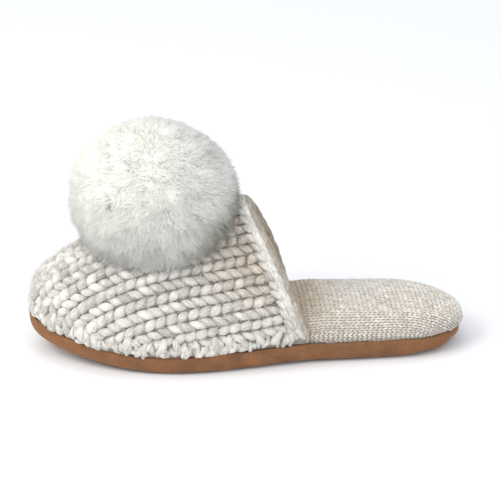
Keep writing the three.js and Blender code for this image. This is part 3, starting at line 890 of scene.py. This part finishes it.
for side in (-1, 1):
    total = reach_down[side][0]
    for step, past, height, long, wide, tilt_deg, warmth in (
        (5.9, -5.0, 0.3, 10.0, 4.6, 33, 0.12),
        (5.9, -2.5, 0.5, 12.5, 4.4, 14, 0.15),
        (7.5, 0.3, -0.6, 16.0, 3.6, -6, 0.6),
        (7.5, 1.7, -2.6, 16.0, 3.6, 6, 0.85),
        (7.5, 1.3, -4.8, 16.0, 3.6, -4, 1.0),
    ):
        middles = np.arange(0, total - 4, step)
        n = len(middles)
        size = 1 + 0.06 * rng.standard_normal(n)
        tilt = np.radians(tilt_deg + 4 * rng.standard_normal(n))
        x, y, z = bent(leg_corners, long * size, wide * size, wide * 0.92 * size, tilt,
                       np.full(n, 1.2))
        along_edge(side, middles, x, y + past, z + height, warmth,
                   0.08 * rng.standard_normal(n) - 0.2 * (warmth > 0.5))
        bound["uv"].append(yarn_coordinates(leg_corners, long * size, wide * size, rng.random(n)))
chain = yarn_piece("upper_bound_edge", bound)
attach(chain, "root")

# %% [markdown]
# ### Seam to the sole
#
# The knit is overcast to the suede with the same yarn. The stitches are uneven, stand nearly
# upright and cover the ends of the rows. A tidy row would be simpler, but it would look like lace.

# %% Path of the seam
def turn_at(share):
    return math.acos(1 - 2 * share)


turns = np.linspace(-turn_at(0.618 + 0.013), turn_at(0.618 - 0.013), 3000)
path = outline(turns)
walked = walk(path)
print("seam in mm:", round(walked[-1]))


def on_seam(s, height):
    """Places at a distance along the seam and a height above the rim, and the way out."""
    turn = np.interp(s, walked, turns)
    p = outline(turn)
    step = outline(turn + 0.01) - outline(turn - 0.01)
    away = np.stack([step[..., 1], -step[..., 0]], -1)
    away = to_one(away)
    share = (1 - np.cos(turn)) / 2
    overhang = mix(-TOE_SETBACK, KNIT_OVERHANG, np.clip(share / 0.2, 0, 1))
    base = np.concatenate([p + away * overhang[..., None], on_rim(share)[..., None]], -1)
    out = np.concatenate([away, np.zeros(away.shape[:-1] + (1,))], -1)
    place, facing_out = base.copy(), out.copy()
    flat_p, flat_o, flat_h = place.reshape(-1, 3), facing_out.reshape(-1, 3), height.reshape(-1)
    for i in range(len(flat_h)):
        lean = min(max(flat_h[i], 0), 14)
        guess = flat_p[i] + np.array([0, 0, flat_h[i]]) + flat_o[i] * 0.3 * lean
        if flat_h[i] > 0:
            hit, normal, _, _ = knit_skin.find_nearest(Vector(guess))
            normal = np.array(normal)
            normal = normal if normal @ flat_o[i] > 0 else -normal
            flat_p[i], flat_o[i] = np.array(hit), normal
        else:
            flat_p[i] = guess
    return place, facing_out


# %% Overcast seam
# Three layers of stitches: the step between them, the height of their middles over the rim, their
# length, width and thickness, how far they stand out, and how much their slant varies in degrees.
rng = np.random.default_rng(23)
seam = nothing_laid()
for step, low, long, wide, thick, height, spread in (
    (2.6, 4.0, 9.4, 3.2, 3.0, -0.9, 17),
    (4.3, 3.7, 8.0, 3.0, 2.6, 0.0, 34),
    (9.4, 6.6, 11.0, 4.6, 3.6, 0.2, 20),
):
    middles = np.arange(1.0, walked[-1] - 0.5, step)
    n = len(middles)
    middles = middles + rng.normal(0, 0.8, n)
    size = 1 + 0.14 * rng.standard_normal(n)
    tilt = np.radians(90 + spread * rng.standard_normal(n))
    x, y, z = bent(leg_corners, long * size, wide * size, thick * size, tilt, np.full(n, 1.3))
    place, out = on_seam(middles[:, None] + x, low + rng.normal(0, 0.7, n)[:, None] + y)
    seam["blocks"].append(place + out * (z + height)[..., None])
    seam["tint"].append(0.1 * rng.standard_normal(n))
    seam["warmth"].append(np.full(n, 0.1))
    seam["uv"].append(yarn_coordinates(leg_corners, long * size, wide * size, rng.random(n)))
overcast = yarn_piece("upper_overcast_seam", seam)
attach(overcast, "root")

# %% [markdown]
# ### Loose fibres
#
# Alpaca is a hairy yarn: single fibres arch out of the stitches and blur their outline. Hair from a
# particle system would be lost in the export, so each fibre is a needle of mesh with six faces.

# %% Loose fibres
rng = np.random.default_rng(29)
FIBRES, FIBRE_RADIUS = 2600, 0.07
NEEDLE_FACES = [(0, 1, 4, 3), (1, 2, 5, 4), (2, 0, 3, 5), (3, 4, 6), (4, 5, 6), (5, 3, 6)]


def needles(root, middle, tip, radius):
    """Three-sided hairs that taper to their tips."""
    axis = tip - root
    axis = to_one(axis)
    aside = np.cross(axis, rng.normal(0, 1, axis.shape))
    aside = to_one(aside)
    other = np.cross(axis, aside)
    hair = np.empty((len(root), 7, 3))
    for j in range(3):
        turn = 2 * math.pi * j / 3
        round_it = (aside * math.cos(turn) + other * math.sin(turn)) * radius
        hair[:, j], hair[:, 3 + j] = root + round_it, middle + round_it
    hair[:, 6] = tip
    return hair


fibres = []
for side in (-1, 1):
    n = FIBRES
    along_row, down_arch = np.gradient(chart[side], axis=0), np.gradient(chart[side], axis=1)
    cell = np.linalg.norm(np.cross(along_row, down_arch), axis=-1)
    cell[:7] = 0
    cell *= (drops[None] < reach_down[side][:, None] - 9) * (stations[:, None] < 0.88)
    pick = rng.choice(cell.size, n, p=(cell / cell.sum()).ravel())
    at = stations[pick // len(drops)] + rng.random(n) * STATION * 0.5
    down = drops[pick % len(drops)] + rng.random(n)
    start, out = on_chart(side, at, down)
    lean = np.cross(out, rng.normal(0, 1, out.shape))
    lean = to_one(lean)
    long = rng.uniform(3, 7, n)[:, None]
    lift = rng.uniform(0.6, 1.7, n)[:, None]
    fibres.append(needles(start + out * 0.3, start + lean * long * 0.5 + out * (0.7 + lift),
                          start + lean * long + out * (0.3 + lift), FIBRE_RADIUS))
fibres = np.concatenate(fibres)
halo = piece_from(
    "upper_loose_fibres", fibres, NEEDLE_FACES, alpaca, tint=np.full(len(fibres), 0.25),
    warmth=np.full(len(fibres), 0.15), yarn_uv=np.zeros((len(fibres), 7, 2)))
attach(halo, "root")

# %% [markdown]
# ## Fur ball
#
# The ball is long soft fur on a round core. A particle system would be quick, but it is lost when
# the part is exported, so each hair is a thin needle of mesh. Hairs lean together in small tufts.

# %% Fur material
# Long fine hair looks matt and nearly white at the tips. The grey end of the ramp is painted shade:
# for the core deep in the fur, and for the fur against the knit.
fur, tree, shader = new_material("natural_white_long_fur", 0.85)
tint = node(tree, "ShaderNodeAttribute", attribute_name="tint")
shade = node(tree, "ShaderNodeValToRGB", {"Fac": tint.outputs["Fac"]},
             stops=((0, "#A5A497"), (0.9, "#F4F4EE")))
connect(tree, shader, {"Base Color": shade.outputs["Color"], "Specular IOR Level": 0.1})

# %% Core of the ball
def lumps(way):
    """A soft uneven surface, about -1 to 1, from waves that cross in different directions."""
    rng = np.random.default_rng(5)
    total = np.zeros(len(way))
    for size in (4, 7, 13):
        for _ in range(7):
            across = rng.normal(0, 1, 3)
            across *= size / np.linalg.norm(across)
            total += np.sin(way @ across + rng.random() * 6.3) * (4 / size) ** 0.5
    return total / 4.5


BALL = np.array([along(0.292), 0, 97])
BALL_SIZE = np.array([43.6, 43, 38.5])  # half its length, width and height in mm
CORE, ROOTS = 0.93, 0.88  # shares of the ball's size
deselect()
bpy.ops.mesh.primitive_ico_sphere_add(subdivisions=6, radius=MM)
core = bpy.context.object
core.name = "pompom_core"
unit = corners_of(core)
unit = to_one(unit)


def out_to(way, share):
    """Points at a share of the ball's size. Its own weight spreads the lower half on the knit."""
    return BALL + way * BALL_SIZE * (share * (1 + 0.12 * np.clip(-way[:, 2], 0, 1)))[:, None]


ball = out_to(unit, CORE + 0.03 * lumps(unit))


def above_knit(points, least):
    """Points of the ball that would be in the knit are lifted out of it."""
    moved = points.copy()
    sunk = np.zeros(len(points), bool)
    for i in np.nonzero(points[:, 2] < 95)[0]:
        hit, normal, _, gap = knit_skin.find_nearest(Vector(points[i]))
        normal = np.array(normal)
        if normal @ np.array(out_of(hit)) < 0:
            normal = -normal
        depth = (points[i] - np.array(hit)) @ normal
        if depth < least:
            moved[i] = points[i] + normal * (least - depth)
            sunk[i] = True
    return moved, sunk


def near_knit(points, reach):
    """1 on the knit, falling to 0 at a distance in mm."""
    apart = np.full(len(points), float(reach))
    for i in np.nonzero(points[:, 2] < 90 + reach)[0]:
        apart[i] = knit_skin.find_nearest(Vector(points[i]))[3]
    return np.clip(1 - apart / reach, 0, 1)


def painted_fur_shade(points, tint):
    """Painted shade: points within 24 mm of the knit, on the collar's side, are painted darker, as
    the shade between ball and knit.
    """
    near = near_knit(points, 24) * np.clip((points[:, 0] + 138) / 32, 0, 1)
    return np.clip(tint - 0.95 * near, 0, 1)


ball, _ = above_knit(ball, -2.6)
put_corners(core, ball)
bpy.ops.object.shade_smooth()
core.data.materials.append(fur)
layer = core.data.attributes.new("tint", "FLOAT", "POINT")
# The core is painted darker than the hairs, as painted shade deep in the fur, and darker still
# against the knit.
layer.data.foreach_set("value", painted_fur_shade(ball, 0.45).astype(np.float32))
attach(core, "root")
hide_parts("pompom")
print("core triangles:", triangles(core))

# %% Where the hairs go
# The tips of a tuft are pulled to one another. A hair that would start or end deep in the knit is
# lifted out of it. Where that moves it too far, it is left out.
rng = np.random.default_rng(31)
HAIRS, TUFTS = 62000, 700
PULL, HAIR_RADIUS = 0.35, 0.13
ROOT_MOVED, TIP_MOVED = 6, 4  # the most a hair is moved, in mm


def scattered(count):
    """Even directions over a ball, each pushed a little aside."""
    k = np.arange(count) + 0.5
    z = 1 - 2 * k / count
    turn = k * math.pi * (3 - math.sqrt(5))
    flat = np.sqrt(1 - z * z)
    way = np.stack([flat * np.cos(turn), flat * np.sin(turn), z], 1)
    way += rng.normal(0, 0.6 / math.sqrt(count), way.shape)
    return to_one(way)


way = scattered(HAIRS)
tufts = scattered(TUFTS)
nearest = np.concatenate([np.argmax(part @ tufts.T, 1) for part in np.array_split(way, 20)])
tuft_out = rng.normal(0, 1, TUFTS)
root = out_to(way, ROOTS + 0.03 * lumps(way))
lean_of = rng.normal(0, 0.045, (TUFTS, 3))  # each tuft is combed its own way
tip_way = way * (1 - PULL) + tufts[nearest] * PULL + lean_of[nearest]
tip_way = tip_way + rng.normal(0, 0.06, way.shape)
tip_way = to_one(tip_way)
reach = 1.075 + 0.036 * lumps(way) + 0.008 * tuft_out[nearest] + 0.075 * rng.random(HAIRS) ** 2
tip = out_to(tip_way, reach)
close = near_knit(tip, 13)
tip[:, 2] -= 2.0 + 3 * close * rng.random(HAIRS)
tip += rng.normal(0, 1.6, tip.shape) * close[:, None]
free, _ = above_knit(tip, 1.2)
raised_root, _ = above_knit(root, -2.0)
kept = np.linalg.norm(raised_root - root, axis=1) < ROOT_MOVED
kept &= np.linalg.norm(free - tip, axis=1) < TIP_MOVED
root, tip, way, nearest = raised_root[kept], free[kept], way[kept], nearest[kept]
print(len(way), "hairs of", HAIRS)

# %% Fur
# Each hair takes nearly the ball's own normal, so that the light rolls over the whole ball. With
# the needle's own normals the fur would glitter.
middle = mix(root, tip, 0.6) + way * 0.4 + rng.normal(0, 0.45, way.shape)
hair = needles(root, middle, tip, HAIR_RADIUS)
soft = (way / BALL_SIZE * 42)
soft = to_one(soft)
shade_of = 0.8 + 0.05 * rng.standard_normal(len(way)) + 0.04 * tuft_out[nearest]
# Painted shade darkens the hairs against the knit.
shade_of = painted_fur_shade(middle, shade_of)
for part, pick in enumerate(np.array_split(rng.permutation(len(way)), 3)):
    made = piece_from(
        "pompom_fur_" + "abc"[part], hair[pick], NEEDLE_FACES, fur, tint=shade_of[pick])
    normals = np.empty(len(made.data.vertices) * 3, np.float32)
    made.data.vertices.foreach_get("normal", normals)
    blended = normals.reshape(-1, 3) * 0.1 + np.repeat(soft[pick], 7, 0) * 0.9
    blended = to_one(blended)
    made.data.normals_split_custom_set_from_vertices(blended.tolist())
    made.visible_shadow = part == 0  # most light passes through hair this fine
    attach(made, "root")

# %% [markdown]
# ## Finish
#
# The visual model may stand a little outside the CAD box, as fibres do.

# %% Finish
deselect()
